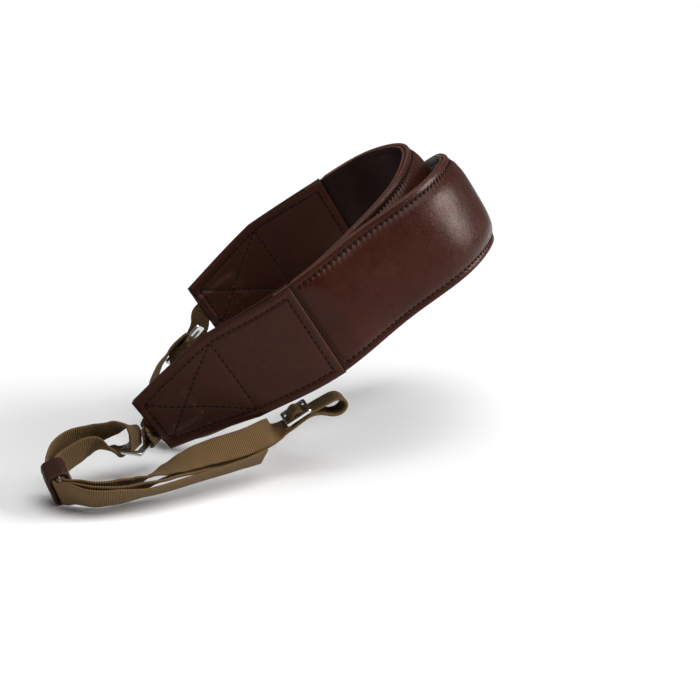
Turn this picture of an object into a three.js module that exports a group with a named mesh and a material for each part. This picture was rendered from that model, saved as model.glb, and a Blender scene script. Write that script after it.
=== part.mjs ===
import * as THREE from "three";

// Camera neck strap: a padded leather band with a tapered tab at each end, wound up on
// edge, and narrow webbing ends with a ring, a keeper and a slider on each.
// Millimetres, +Z up. The origin lies against the inside of the pad's front run,
// where the strap bears on what carries it.

// Leather band
const PAD_WIDTH = 40;
const TAB_LENGTH = 75;
const TAB_TAPER = 38; // length of the tapered stretch at the end of a tab
const TAB_WAIST = 38.5; // width where the taper starts
const TAB_END_WIDTH = 24;
const PAD_EDGE = 1.9; // outer face of the pad above the middle surface, at its edges
const PAD_CROWN = 2.4; // how much the padding rises from the edges to the middle
const PAD_FLOOR = -0.5; // inner side of the padded leather
const LINING_TOP = -0.8;
const LINING_BOTTOM = -2.1;
const LINING_CROWN = 0.4;
const PAD_INSET = 0.4; // the tongue is this much narrower than the tab on each side
const PAD_COLUMNS = 6;
const PAD_ROWS = 66; // between the two fades
const TAB_COLUMNS = 8;
const TAB_ROWS = 20;
const TONGUE = 7; // length of the pad's thinned end, held between the tab's panels
const TONGUE_TOP = 0.9;
const TONGUE_MIDDLE = [-0.1, -0.4]; // underside of the padded leather, top of the lining
const TONGUE_BOTTOM = -1.3;
const SHOULDER = 3.2; // length over which the pad's edges rise from the tongue
const CROWN_POWER = 2.6; // how full the padding's section is: 2 is a parabola
const FADE = 12; // length over which the padding fades out before the tongue
const PANEL = 1.6; // leather thickness of a tab panel
const GAP = 0.3; // between pieces that touch
const MOUTH = { half: 5, length: 16, lift: 1.3 }; // a tab's inside where it holds the ring loop

// Coil: the band stands on edge round an axis that is leaned and turned
const COIL_YAW = 11.3;
const COIL_PITCH = 3.2;
const COIL_ROLL = -32.8;
const COIL_SEAT = new THREE.Vector3(45, 11.5, 1); // coil point that is the origin

// Webbing and its fittings
const WEB_WIDTH = 10;
const WEB_THICK = 1.1;
const WEB_STEP = 2.4; // longest step of a webbing strip
const PLY_PITCH = 1.55; // from middle to middle of two plies that lie together
const KEEPER_LENGTH = 11;
const KEEPER_WALL = [1.1, 1.8]; // at its narrow sides and over its flat faces
const KEEPER_RUN = 0.8; // the plies lie straight this far past its mouths
const KEEPER_CUTS = [1.4, 0.3]; // corners outside and inside
const RING_LENGTH = 22; // along its rails
const RING_RAIL = 2.6;
const RING_SPREAD = 6.2; // from rail to rail, middle to middle
const RING_THICK = 1.3;
const RING_CUTS = [1, 0.4]; // corners outside and inside
const RING_END = 2.2; // its short sides
const RING_LOOP_WIDTH = 8;
const RING_LOOP_THICK = 0.8;
const RING_LOOP_TAIL = 12; // length of the ring loop held in the tab
const RING_LOOP_EXIT = 1; // straight way out of the tab before the loop turns
const RING_LOOP_REACH = 3.5; // where its plies part, from the middle of the rail
const EYE_MOUTH = 40; // degrees from the way to the tab to where the loop starts its turn
const RAIL_CORNER = 0.6; // power that squares the turn round a rail: 1 is an ellipse
const RAIL_STEP = 36; // degrees between stations of that turn
const SLIDER_LENGTH = 11; // along the webbing
const SLIDER_WIDTH = 14;
const SLIDER_BAR = 1.2;
const SLIDER_THICK = 1.2;
const SLIDER_CUTS = [0.8, 0.3]; // corners outside and inside
const SLIDER_LEAD = 2.5; // straight way of the webbing before the slider
const BAR_FLAT = 0.75; // the webbing lies flat this far on each side of a bar's middle

const COLOURS = {
  leather: { color: 0x4a2318, roughness: 0.42, metalness: 0 },
  lining: { color: 0x3f2a1f, roughness: 0.6, metalness: 0 },
  webbing: { color: 0x6a5638, roughness: 0.85, metalness: 0 },
  metal: { color: 0xc8c6c2, roughness: 0.25, metalness: 1 },
};

// Stations of the band's middle line, from the near tab's end to the far tab's end.
// along: the direction of the front run, across: away from it, rise: up the coil's axis.
// lean: degrees by which the band's upper edge leans out of the coil.
const BAND_STATIONS = [
  { along: -72.5, across: 12, rise: 1, lean: 0 },
  { along: -34, across: 1, rise: 2.7, lean: 0 },
  { along: 0, across: -5, rise: 2, lean: 0 },
  { along: 31, across: 3, rise: 2, lean: 0 },
  { along: 61, across: 13, rise: 0, lean: 0 },
  { along: 78, across: 34.3, rise: -2.4, lean: 0 },
  { along: 82.3, across: 60.5, rise: -7.2, lean: 0 },
  { along: 83.6, across: 87.5, rise: -13.2, lean: -8 },
  { along: 70, across: 110, rise: -20, lean: -20 },
  { along: 47, across: 114, rise: -27, lean: -35 },
  { along: 23, across: 99, rise: -31, lean: -45 },
  { along: 0, across: 79, rise: -28, lean: -45 },
  { along: -18, across: 57, rise: -20.5, lean: -38 },
  { along: -19, across: 35, rise: -11, lean: -25 },
  { along: -2, across: 18, rise: -6, lean: -10 },
  { along: 22, across: 13, rise: -1, lean: 0 },
  { along: 42, across: 24, rise: 0, lean: 0 },
  { along: 57, across: 37, rise: 0.5, lean: 0 },
  { along: 68, across: 54, rise: 1.5, lean: 0 },
  { along: 72, across: 74, rise: 3, lean: 0 },
  { along: 58, across: 88, rise: 5.5, lean: 0 },
  { along: 38, across: 87, rise: 7, lean: 0 },
  { along: 2, across: 93, rise: 7, lean: 0 },
  { along: -38, across: 87, rise: 7, lean: 0 },
];

// The turn of the webbing past the slider: along the slider, out of its plane
const BIGHT = [
  { along: 8, out: -2.1 },
  { along: 13, out: -2.5 },
  { along: 17, out: -3.8 },
  { along: 18, out: -6.6 },
  { along: 15.2, out: -8.6 },
  { along: 11, out: -7.3 },
  { along: 7.5, out: -4.2 },
];

// Webbing stations, in millimetres from the origin. Each station also gives the direction
// of the webbing's width: tilt is its angle above the level, turn its bearing from -Y to +X.
const NEAR = {
  ring: { at: [-101.5, -18.9, -69.5], along: [0.22, 0.97, 0.1], across: [0.96, -0.22, -0.05] },
  anchor: { slide: 3.2, from: [-0.4, -0.1, 0.9], via: [] },
  keeper: { at: [-126.3, -47.2, -74.6], along: [-0.42, 0.88, 0.25], wide: [-0.2, -0.35, 0.91] },
  slider: {
    at: [-42.9, -17.6, -58.2], along: [0.83, 0.2, 0.52], wide: [0.1, -0.98, -0.1], viewSide: -1,
  },
  free: [
    { x: -54.4, y: -26.7, z: -72.3, tilt: 40, turn: 0 },
    { x: -62.2, y: -32.9, z: -73.4, tilt: 32, turn: 0 },
    { x: -77.7, y: -44.6, z: -74.7, tilt: 30, turn: 0 },
    { x: -93, y: -54.7, z: -76, tilt: 30, turn: 0 },
    { x: -104.8, y: -60, z: -76, tilt: 48, turn: 0 },
    { x: -112.5, y: -61, z: -75.8, tilt: 56, turn: 0 },
    { x: -119.5, y: -58, z: -75.4, tilt: 62, turn: -10 },
  ],
  loopOut: [
    { x: -131, y: -34, z: -69.4, tilt: 76, turn: -10 },
    { x: -127, y: -28, z: -66.4, tilt: 74, turn: 0 },
    { x: -119.5, y: -23.6, z: -65, tilt: 64, turn: 0 },
    { x: -111.5, y: -21.6, z: -63, tilt: 46, turn: 0 },
    { x: -106.6, y: -21.3, z: -62.1, tilt: 24, turn: -6 },
    { x: -103.9, y: -21.7, z: -63.5, tilt: 8, turn: -12 },
    { x: -103.2, y: -21.9, z: -66.2, tilt: 0, turn: -13 },
  ],
  wrap: { slide: -3.2, from: -25, to: 88 },
  loopBack: [
    { x: -109, y: -22.3, z: -71.8, tilt: -4, turn: -12 },
    { x: -113.4, y: -24.8, z: -70.2, tilt: 26, turn: -4 },
    { x: -118.6, y: -28, z: -68.1, tilt: 56, turn: 0 },
    { x: -123, y: -32.5, z: -69.2, tilt: 68, turn: -6 },
  ],
  run: [
    { x: -117.6, y: -53.4, z: -75.4, tilt: 62, turn: -10 },
    { x: -111, y: -54.4, z: -75.5, tilt: 57, turn: 0 },
    { x: -104.8, y: -52.6, z: -75, tilt: 48, turn: 0 },
    { x: -98.4, y: -50, z: -73.7, tilt: 32, turn: 0 },
    { x: -92.9, y: -48.4, z: -72, tilt: 14, turn: 0 },
    { x: -87.7, y: -46.4, z: -70.4, tilt: -6, turn: 0 },
    { x: -81.4, y: -43.4, z: -68.6, tilt: -25, turn: 0 },
    { x: -76.3, y: -40.5, z: -67.3, tilt: -37, turn: 0 },
    { x: -67.9, y: -36.1, z: -66, tilt: -53, turn: 0 },
    { x: -58.9, y: -30.6, z: -64.6, tilt: -64, turn: 0 },
    { x: -53, y: -25.2, z: -63.3, tilt: -46, turn: 0 },
  ],
  back: [
    { x: -54.5, y: -21.8, z: -66.4, tilt: -36, turn: 0 },
    { x: -61, y: -28, z: -68.4, tilt: -48, turn: 0 },
    { x: -68.8, y: -35.2, z: -70.8, tilt: -24, turn: 0 },
    { x: -77.5, y: -41, z: -72, tilt: 0, turn: 0 },
    { x: -87, y: -47.9, z: -73.3, tilt: 12, turn: 0 },
    { x: -98.5, y: -53.9, z: -75.3, tilt: 35, turn: 0 },
    { x: -111, y: -57.9, z: -75.7, tilt: 56, turn: 0 },
    { x: -117.8, y: -56.4, z: -75.5, tilt: 62, turn: -10 },
  ],
};

const FAR = {
  ring: { at: [-94.6, 54.2, -49.4], along: [-0.66, -0.18, -0.73], across: [0.15, 0.93, -0.36] },
  anchor: {
    slide: 0,
    from: [0.15, 0.93, -0.36],
    via: [
      { x: -88.6, y: 62.4, z: -40.5, tilt: 22, turn: -75 },
      { x: -90.6, y: 64, z: -46.5, tilt: -8, turn: -76 },
    ],
  },
  keeper: { at: [-97, 15, -72], along: [-0.6, 0.75, 0.3], wide: [0.25, -0.2, 0.95] },
  slider: {
    at: [-71, 22, -61.5], along: [0.2, 0.85, 0.45], wide: [-0.2, -0.35, 0.9], viewSide: -1,
  },
  free: [
    { x: -63, y: 5.5, z: -62.5, tilt: 74, turn: 0 },
    { x: -73, y: 3.8, z: -67, tilt: 76, turn: 0 },
    { x: -82, y: 3.6, z: -70.3, tilt: 80, turn: 10 },
    { x: -88.5, y: 6, z: -72.4, tilt: 80, turn: 30 },
  ],
  loopOut: [
    { x: -102.4, y: 22.5, z: -69.2, tilt: 74, turn: 45 },
    { x: -105, y: 29.5, z: -64.5, tilt: 68, turn: 60 },
    { x: -104.8, y: 37.5, z: -57.8, tilt: 58, turn: 80 },
    { x: -101, y: 44.5, z: -51.4, tilt: 50, turn: 100 },
  ],
  wrap: { slide: 0, from: -130, to: 130 },
  loopBack: [
    { x: -96.2, y: 46, z: -54.6, tilt: 50, turn: 100 },
    { x: -98.8, y: 39, z: -59.6, tilt: 58, turn: 80 },
    { x: -99.8, y: 31, z: -65, tilt: 68, turn: 60 },
    { x: -98.8, y: 24, z: -69.4, tilt: 74, turn: 45 },
  ],
  run: [
    { x: -86.8, y: 11.2, z: -71.6, tilt: 80, turn: 30 },
    { x: -80, y: 12.4, z: -68.5, tilt: 78, turn: 0 },
    { x: -74.6, y: 15, z: -65.6, tilt: 74, turn: -20 },
  ],
  back: [
    { x: -72.4, y: 12.4, z: -66.4, tilt: 74, turn: -20 },
    { x: -79.4, y: 9.4, z: -69.4, tilt: 78, turn: 0 },
    { x: -87, y: 8.7, z: -72, tilt: 80, turn: 30 },
  ],
};

// Natural cubic spline through points, by chord length
class SplinePath {
  constructor(points) {
    this.points = points;
    this.knots = [0];
    for (let i = 1; i < points.length; i++) {
      this.knots.push(this.knots[i - 1] + points[i].distanceTo(points[i - 1]));
    }
    this.bends = this.solveBends();
    this.table = this.measure(600);
    this.length = this.table[this.table.length - 1].s;
  }

  solveBends() {
    const n = this.points.length;
    const upper = new Array(n).fill(0);
    const right = Array.from({ length: n }, () => new THREE.Vector3());
    for (let i = 1; i < n - 1; i++) {
      const before = this.knots[i] - this.knots[i - 1];
      const after = this.knots[i + 1] - this.knots[i];
      const pivot = 2 * (before + after) - before * upper[i - 1];
      upper[i] = after / pivot;
      right[i]
        .subVectors(this.points[i + 1], this.points[i])
        .divideScalar(after)
        .addScaledVector(this.points[i], -1 / before)
        .addScaledVector(this.points[i - 1], 1 / before)
        .multiplyScalar(6)
        .addScaledVector(right[i - 1], -before)
        .divideScalar(pivot);
    }
    for (let i = n - 2; i > 0; i--) {
      right[i].addScaledVector(right[i + 1], -upper[i]);
    }
    return right;
  }

  atKnot(t) {
    const last = this.knots.length - 2;
    let i = 0;
    while (i < last && t > this.knots[i + 1]) i++;
    const h = this.knots[i + 1] - this.knots[i];
    const b = (t - this.knots[i]) / h;
    const a = 1 - b;
    return new THREE.Vector3()
      .addScaledVector(this.points[i], a)
      .addScaledVector(this.points[i + 1], b)
      .addScaledVector(this.bends[i], ((a ** 3 - a) * h * h) / 6)
      .addScaledVector(this.bends[i + 1], ((b ** 3 - b) * h * h) / 6);
  }

  measure(steps) {
    const end = this.knots[this.knots.length - 1];
    const table = [{ s: 0, t: 0 }];
    let before = this.atKnot(0);
    for (let k = 1; k <= steps; k++) {
      const t = (end * k) / steps;
      const point = this.atKnot(t);
      table.push({ s: table[k - 1].s + point.distanceTo(before), t });
      before = point;
    }
    return table;
  }

  // Knot value at the length s along the path
  knotAt(s) {
    const table = this.table;
    let k = 1;
    while (k < table.length - 1 && table[k].s < s) k++;
    const from = table[k - 1];
    const to = table[k];
    return from.t + ((to.t - from.t) * (s - from.s)) / (to.s - from.s);
  }

  // Length along the path up to the knot value t
  lengthTo(t) {
    const table = this.table;
    let k = 1;
    while (k < table.length - 1 && table[k].t < t) k++;
    const from = table[k - 1];
    const to = table[k];
    return from.s + ((to.s - from.s) * (t - from.t)) / (to.t - from.t);
  }

  // Lengths of all knots, with even steps between them
  stops(step) {
    const lengths = this.knots.map((t) => this.lengthTo(t));
    const list = [0];
    for (let i = 1; i < lengths.length; i++) {
      const count = Math.ceil((lengths[i] - lengths[i - 1]) / step);
      list.push(...even(lengths[i - 1], lengths[i], count).slice(1));
    }
    return list;
  }

  pointAt(s) {
    return this.atKnot(this.knotAt(s));
  }

  tangentAt(s) {
    const step = 0.5;
    const from = Math.max(0, s - step);
    const to = Math.min(this.length, s + step);
    return this.pointAt(to).sub(this.pointAt(from)).normalize();
  }
}

// Smooth step from 0 at a to 1 at b
function ramp(a, b, x) {
  const t = Math.min(1, Math.max(0, (x - a) / (b - a)));
  return t * t * (3 - 2 * t);
}

function mix(a, b, t) {
  return a + (b - a) * t;
}

// Lengths evenly spaced from one to another
function even(from, to, count) {
  return Array.from({ length: count + 1 }, (_, i) => mix(from, to, i / count));
}

// Flat goods: a strip between two faces that follows a path. frame(s) gives the middle
// point, the direction across the strip's width and its outward normal.
function strip({ frame, stops, columns, halfWidth, outer, inner }) {
  const positions = [];
  const index = [];
  const across = columns + 1;
  const rows = stops.length - 1;
  const layer = (rows + 1) * across;
  for (const side of [outer, inner]) {
    for (const s of stops) {
      const { point, wide, out } = frame(s);
      const half = halfWidth(s);
      for (let j = 0; j <= columns; j++) {
        const a = mix(-1, 1, j / columns) * half;
        const p = point.clone().addScaledVector(wide, a).addScaledVector(out, side(s, a, half));
        positions.push(p.x, p.y, p.z);
      }
    }
  }
  const quad = (a, b, c, d) => index.push(a, b, c, a, c, d);
  for (let i = 0; i < rows; i++) {
    for (let j = 0; j < columns; j++) {
      const k = i * across + j;
      quad(k, k + across, k + across + 1, k + 1);
      quad(layer + k, layer + k + 1, layer + k + across + 1, layer + k + across);
    }
    const low = i * across;
    const high = low + columns;
    quad(low, layer + low, layer + low + across, low + across);
    quad(high, high + across, layer + high + across, layer + high);
  }
  const end = rows * across;
  for (let j = 0; j < columns; j++) {
    quad(j, j + 1, layer + j + 1, layer + j);
    quad(end + j, layer + end + j, layer + end + j + 1, end + j + 1);
  }
  const geometry = new THREE.BufferGeometry();
  geometry.setAttribute("position", new THREE.Float32BufferAttribute(positions, 3));
  geometry.setIndex(index);
  geometry.computeVertexNormals();
  return geometry;
}

const strap = new THREE.Group();

function add(name, geometry, look) {
  const mesh = new THREE.Mesh(geometry, new THREE.MeshStandardMaterial(COLOURS[look]));
  mesh.name = name;
  strap.add(mesh);
}

// The coil's frame, and the band's frame at a length along its middle line
const coil = new THREE.Matrix4().makeRotationFromEuler(
  new THREE.Euler(
    THREE.MathUtils.degToRad(COIL_PITCH),
    THREE.MathUtils.degToRad(COIL_ROLL),
    THREE.MathUtils.degToRad(COIL_YAW),
    "ZXY",
  ),
);
const coilAxis = new THREE.Vector3(0, 0, 1).applyMatrix4(coil);
const band = new SplinePath(
  BAND_STATIONS.map(({ along, across, rise }) =>
    new THREE.Vector3(along, across, rise).sub(COIL_SEAT).applyMatrix4(coil),
  ),
);

// A column of a station table, eased from station to station along its path
function easedColumn(path, rows, column) {
  return (s) => {
    const t = path.knotAt(s);
    let i = 0;
    while (i < rows.length - 2 && t > path.knots[i + 1]) i++;
    return mix(rows[i][column], rows[i + 1][column], ramp(path.knots[i], path.knots[i + 1], t));
  };
}

// Point, width direction and outward normal of a strip whose width stands along an
// axis and leans by some degrees about the path
function leaningFrame(path, axis, lean) {
  return (s) => {
    const tangent = path.tangentAt(s);
    const wide = axis.clone().addScaledVector(tangent, -axis.dot(tangent)).normalize();
    wide.applyAxisAngle(tangent, THREE.MathUtils.degToRad(lean(s)));
    return { point: path.pointAt(s), wide, out: tangent.clone().cross(wide) };
  };
}

const bandFrame = leaningFrame(band, coilAxis, easedColumn(band, BAND_STATIONS, "lean"));

// Distance from the nearer end of the band
const fromEnd = (s) => Math.min(s, band.length - s);

// How far the pad has grown to its full section: 0 in the tongue, 1 past the fade
const fullness = (s) => ramp(TAB_LENGTH + 0.5, TAB_LENGTH + FADE, fromEnd(s));
const body = (s) => ramp(TAB_LENGTH + GAP, TAB_LENGTH + SHOULDER, fromEnd(s));
const crown = (a, half) => 1 - Math.abs(a / half) ** CROWN_POWER;

// Rows at an end of the pad, as distances from the tab's edge
const padEnd = [-TONGUE, GAP, 1.2, 2.2, SHOULDER, 6, 9, FADE];
const padStops = [
  ...padEnd.map((d) => TAB_LENGTH + d),
  ...even(TAB_LENGTH + FADE, band.length - TAB_LENGTH - FADE, PAD_ROWS).slice(1, -1),
  ...padEnd.map((d) => band.length - TAB_LENGTH - d).reverse(),
];
const padHalf = (s) => PAD_WIDTH / 2 - PAD_INSET * (1 - body(s));

add(
  "shoulder_pad",
  strip({
    frame: bandFrame,
    stops: padStops,
    columns: PAD_COLUMNS,
    halfWidth: padHalf,
    outer: (s, a, half) =>
      mix(TONGUE_TOP, PAD_EDGE, body(s)) + PAD_CROWN * fullness(s) * crown(a, half),
    inner: (s) => mix(TONGUE_MIDDLE[0], PAD_FLOOR, body(s)),
  }),
  "leather",
);

add(
  "pad_lining",
  strip({
    frame: bandFrame,
    stops: padStops,
    columns: PAD_COLUMNS,
    halfWidth: padHalf,
    outer: (s) => mix(TONGUE_MIDDLE[1], LINING_TOP, body(s)),
    inner: (s, a, half) =>
      mix(TONGUE_BOTTOM, LINING_BOTTOM, body(s)) - LINING_CROWN * fullness(s) * crown(a, half),
  }),
  "lining",
);

// Tabs: two panels that part over the pad's tongue and over the ring loop's tail
function tabHalf(s) {
  const d = fromEnd(s);
  const tapered = mix(TAB_END_WIDTH, TAB_WAIST, d / TAB_TAPER);
  const straight = mix(TAB_WAIST, PAD_WIDTH, (d - TAB_TAPER) / (TAB_LENGTH - TAB_TAPER));
  return (d < TAB_TAPER ? tapered : straight) / 2;
}

// Inner side of a tab's panel above the middle surface
function panelInside(s, a, tongue) {
  const d = fromEnd(s);
  const rest = GAP / 2;
  const overTongue = ramp(TAB_LENGTH - TONGUE - 8, TAB_LENGTH - TONGUE - 3, d);
  const overTail =
    (1 - ramp(MOUTH.length + 1, MOUTH.length + 6, d)) *
    (1 - ramp(MOUTH.half, MOUTH.half + 3, Math.abs(a)));
  return rest + (tongue + GAP - rest) * overTongue + (MOUTH.lift - rest) * overTail;
}

for (const [prefix, from, to] of [
  ["near", 0, TAB_LENGTH],
  ["far", band.length - TAB_LENGTH, band.length],
]) {
  const shared = {
    frame: bandFrame,
    stops: even(from, to, TAB_ROWS),
    columns: TAB_COLUMNS,
    halfWidth: tabHalf,
  };
  add(
    `${prefix}_tab_front`,
    strip({
      ...shared,
      outer: (s, a) => panelInside(s, a, TONGUE_TOP) + PANEL,
      inner: (s, a) => panelInside(s, a, TONGUE_TOP),
    }),
    "leather",
  );
  add(
    `${prefix}_tab_back`,
    strip({
      ...shared,
      outer: (s, a) => -panelInside(s, a, -TONGUE_BOTTOM),
      inner: (s, a) => -panelInside(s, a, -TONGUE_BOTTOM) - PANEL,
    }),
    "leather",
  );
}

const vector = (list) => new THREE.Vector3(...list);

// A right-handed frame from a first direction and a rough second one
function seat({ at, along, wide, across }) {
  const first = vector(along).normalize();
  const second = vector(wide ?? across);
  second.addScaledVector(first, -second.dot(first)).normalize();
  return { at: vector(at), first, second, third: first.clone().cross(second) };
}

// A point of a seat, by its distances along the seat's three directions
function inSeat(frame, a, b, c) {
  return frame.at
    .clone()
    .addScaledVector(frame.first, a)
    .addScaledVector(frame.second, b)
    .addScaledVector(frame.third, c);
}

// A flat outline with holes, extruded evenly about its plane and set in a seat
function plate(frame, outline, holes, thick) {
  const shape = new THREE.Shape(outline);
  shape.holes = holes.map((hole) => new THREE.Path(hole));
  const geometry = new THREE.ExtrudeGeometry(shape, { depth: thick, bevelEnabled: false });
  geometry.translate(0, 0, -thick / 2);
  const basis = new THREE.Matrix4().makeBasis(frame.first, frame.second, frame.third);
  return geometry.applyMatrix4(basis.setPosition(frame.at));
}

// Rectangle with cut corners round a middle
function cutRectangle(length, width, cut, middle = 0) {
  const a = length / 2;
  const b = width / 2;
  const corners = [
    [-a + cut, -b], [a - cut, -b], [a, -b + cut], [a, b - cut],
    [a - cut, b], [-a + cut, b], [-a, b - cut], [-a, -b + cut],
  ];
  return corners.map(([x, y]) => new THREE.Vector2(x + middle, y));
}

// Stations of a strip that turns round a rail of the ring, between two angles in degrees
// from the rail's outer or inner side to the ring's underside
function roundRail(ring, { rail, slide, from, to, wide, thick }) {
  const side = (RING_RAIL + thick) / 2 + GAP;
  const face = (RING_THICK + thick) / 2 + GAP;
  const square = (value) => Math.sign(value) * Math.abs(value) ** RAIL_CORNER;
  return even(from, to, Math.ceil(Math.abs(to - from) / RAIL_STEP)).map((degrees) => {
    const angle = THREE.MathUtils.degToRad(degrees);
    const across = rail + side * square(Math.cos(angle));
    return { point: inSeat(ring, slide, across, face * square(Math.sin(angle))), wide };
  });
}

// Folded loop from the tab's end round the ring's rail on that side. Its two plies lie
// together as far as the rail, and stand clear of it all round.
function addRingLoop(prefix, ring, { tabEnd, inward, anchor }) {
  const rail = RING_SPREAD / 2;
  const middle = inSeat(ring, anchor.slide, rail, 0);
  const way = vector(anchor.from);
  way.addScaledVector(ring.first, -way.dot(ring.first)).normalize();
  const inTab = [RING_LOOP_TAIL, RING_LOOP_TAIL / 2, 0, -RING_LOOP_EXIT].map((depth) => {
    const { point, wide } = bandFrame(tabEnd + inward * depth);
    return { point, wide };
  });
  const via = anchor.via.map(station);
  const lastWide = [...inTab, ...via].pop().wide;
  const width = ring.first.clone().multiplyScalar(Math.sign(ring.first.dot(lastWide)));
  const arrival = { point: middle.clone().addScaledVector(way, RING_LOOP_REACH), wide: width };
  const core = stationFrame([...inTab, ...via, arrival]);
  const pitch = RING_LOOP_THICK + GAP;
  const ply = (side) =>
    core.stops.map((s) => {
      const { point, wide, out } = core.frame(s);
      return { point: point.addScaledVector(out, (side * pitch) / 2), wide };
    });
  const start = THREE.MathUtils.radToDeg(Math.atan2(way.dot(ring.third), way.dot(ring.second)));
  const turn = Math.sign(way.clone().cross(core.frame(core.length).out).dot(ring.first));
  const eye = roundRail(ring, {
    rail,
    slide: anchor.slide,
    from: start + turn * EYE_MOUTH,
    to: start + turn * (360 - EYE_MOUTH),
    wide: width,
    thick: RING_LOOP_THICK,
  });
  const { frame, stops } = stationFrame([...ply(1), ...eye, ...ply(-1).reverse()]);
  add(
    `${prefix}_ring_loop`,
    strip({
      frame,
      stops,
      columns: 1,
      halfWidth: () => RING_LOOP_WIDTH / 2,
      outer: () => RING_LOOP_THICK / 2,
      inner: () => -RING_LOOP_THICK / 2,
    }),
    "webbing",
  );
}

// Stations of a straight run through a fitting, at an offset from the fitting's middle
function straightRun(frame, reach, offset) {
  return reach.map((a) => ({ point: inSeat(frame, a, 0, offset), wide: frame.second }));
}

function station({ x, y, z, tilt, turn }) {
  const up = THREE.MathUtils.degToRad(tilt);
  const round = THREE.MathUtils.degToRad(turn);
  const level = Math.cos(up);
  const wide = vector([level * Math.sin(round), -level * Math.cos(round), Math.sin(up)]);
  return { point: vector([x, y, z]), wide };
}

// Frame of a strip through stations that each give a point and a width direction
function stationFrame(stations) {
  const path = new SplinePath(stations.map(({ point }) => point));
  const frame = (s) => {
    const t = path.knotAt(s);
    let i = 0;
    while (i < stations.length - 2 && t > path.knots[i + 1]) i++;
    const share = ramp(path.knots[i], path.knots[i + 1], t);
    const wide = stations[i].wide.clone().lerp(stations[i + 1].wide, share);
    const tangent = path.tangentAt(s);
    wide.addScaledVector(tangent, -wide.dot(tangent)).normalize();
    return { point: path.pointAt(s), wide, out: tangent.clone().cross(wide) };
  };
  return { frame, length: path.length, stops: path.stops(WEB_STEP) };
}

function fitEnd(prefix, places) {
  const keeper = seat(places.keeper);
  const slider = seat(places.slider);
  const ring = seat(places.ring);
  const side = places.slider.viewSide;

  // The webbing: free end, keeper, loop through the ring, keeper, slider, bight, slider, keeper
  const reach = KEEPER_LENGTH / 2 + KEEPER_RUN;
  const inKeeper = even(-reach, reach, 4);
  const overBar = (SLIDER_THICK + WEB_THICK) / 2 + GAP;
  const slot = (SLIDER_LENGTH - SLIDER_BAR) / 4;
  const bar = (SLIDER_LENGTH - SLIDER_BAR) / 2;
  const weave = [
    { along: -bar - SLIDER_LEAD, out: -overBar },
    { along: -bar + BAR_FLAT, out: -overBar },
    { along: -slot, out: 0 },
    { along: -BAR_FLAT, out: overBar },
    { along: BAR_FLAT, out: overBar },
    { along: slot, out: 0 },
    { along: bar - BAR_FLAT, out: -overBar },
    ...BIGHT,
    { along: bar, out: -overBar - PLY_PITCH },
    { along: -bar, out: -overBar - PLY_PITCH },
  ].map(({ along, out }) => ({ point: inSeat(slider, along, 0, side * out), wide: slider.second }));
  const ringWide = ring.first.clone().multiplyScalar(-1);
  const stations = [
    ...places.free.map(station),
    ...straightRun(keeper, inKeeper, -PLY_PITCH),
    ...places.loopOut.map(station),
    ...roundRail(ring, {
      ...places.wrap, rail: -RING_SPREAD / 2, wide: ringWide, thick: WEB_THICK,
    }),
    ...places.loopBack.map(station),
    ...straightRun(keeper, [...inKeeper].reverse(), PLY_PITCH),
    ...places.run.map(station),
    ...weave,
    ...places.back.map(station),
    ...straightRun(keeper, even(-reach, 0, 2), 0),
  ];
  const { frame, stops } = stationFrame(stations);
  add(
    `${prefix}_webbing`,
    strip({
      frame,
      stops,
      columns: 1,
      halfWidth: () => WEB_WIDTH / 2,
      outer: () => WEB_THICK / 2,
      inner: () => -WEB_THICK / 2,
    }),
    "webbing",
  );

  // Keeper: a flat leather sleeve, its section in the plane across its axis
  const room = [WEB_WIDTH + 2 * GAP, 2 * PLY_PITCH + WEB_THICK + 2 * GAP];
  const outside = room.map((size, i) => size + 2 * KEEPER_WALL[i]);
  const sleeve = {
    at: keeper.at,
    first: keeper.second,
    second: keeper.third,
    third: keeper.first,
  };
  add(
    `${prefix}_keeper`,
    plate(
      sleeve,
      cutRectangle(...outside, KEEPER_CUTS[0]),
      [cutRectangle(...room, KEEPER_CUTS[1])],
      KEEPER_LENGTH,
    ),
    "leather",
  );

  // Ring: two rails joined at their ends
  const ringSize = [RING_LENGTH, RING_SPREAD + RING_RAIL];
  const ringSlot = [RING_LENGTH - 2 * RING_END, RING_SPREAD - RING_RAIL];
  add(
    `${prefix}_ring`,
    plate(
      ring,
      cutRectangle(...ringSize, RING_CUTS[0]),
      [cutRectangle(...ringSlot, RING_CUTS[1])],
      RING_THICK,
    ),
    "metal",
  );

  addRingLoop(prefix, ring, places);

  // Slider: a frame with a bar across its middle
  const window = [(SLIDER_LENGTH - 3 * SLIDER_BAR) / 2, WEB_WIDTH + 2 * GAP];
  const windows = [-1, 1].map((half) =>
    cutRectangle(...window, SLIDER_CUTS[1], (half * (window[0] + SLIDER_BAR)) / 2),
  );
  add(
    `${prefix}_slider`,
    plate(slider, cutRectangle(SLIDER_LENGTH, SLIDER_WIDTH, SLIDER_CUTS[0]), windows, SLIDER_THICK),
    "metal",
  );
}

fitEnd("near", { ...NEAR, tabEnd: 0, inward: 1 });
fitEnd("far", { ...FAR, tabEnd: band.length, inward: -1 });

export default strap;
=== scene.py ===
import math

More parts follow.
